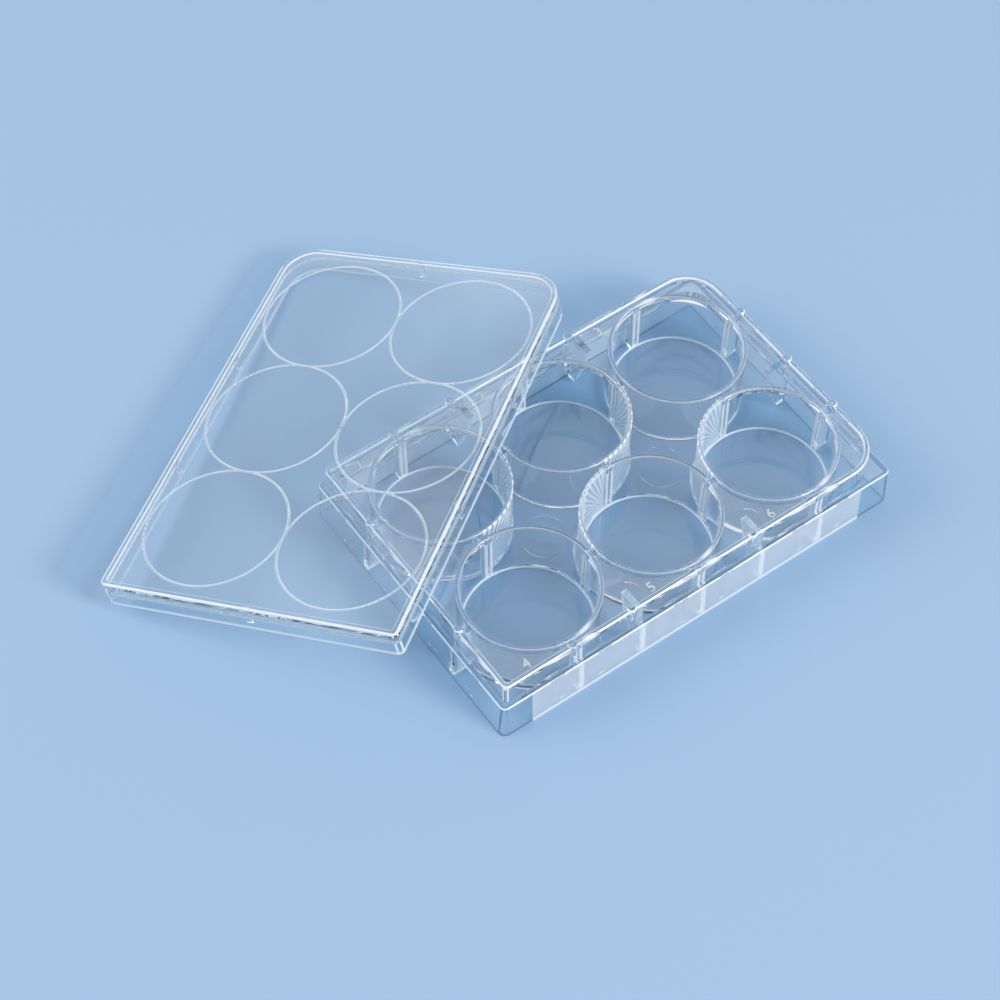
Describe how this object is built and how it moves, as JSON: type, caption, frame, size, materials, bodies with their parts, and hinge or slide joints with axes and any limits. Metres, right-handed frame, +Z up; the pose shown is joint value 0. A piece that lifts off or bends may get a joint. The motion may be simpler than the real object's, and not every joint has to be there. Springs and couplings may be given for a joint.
{
  "type": "well plate",
  "caption": "Clear multiwell culture plate with round flat-bottomed wells, a deck, ribs and a stepped skirt; its clear lid is off and leans on one corner of the plate",
  "frame": {"origin": "middle of the outline of plate and leaning lid together, on the table", "axes": "+X along the plate's long front side to the right, +Y to the back of the plate, +Z up from the table"},
  "size_m": [0.189, 0.1588, 0.032],
  "materials": {
    "clear_plate": "clear moulded polystyrene, polished, with frosted panels on the long sides of the skirt",
    "clear_lid": "clear moulded polystyrene, polished"
  },
  "bodies": {
    "root": {"plate": "clear_plate", "lid": "clear_lid"}
  },
  "joints": []
}
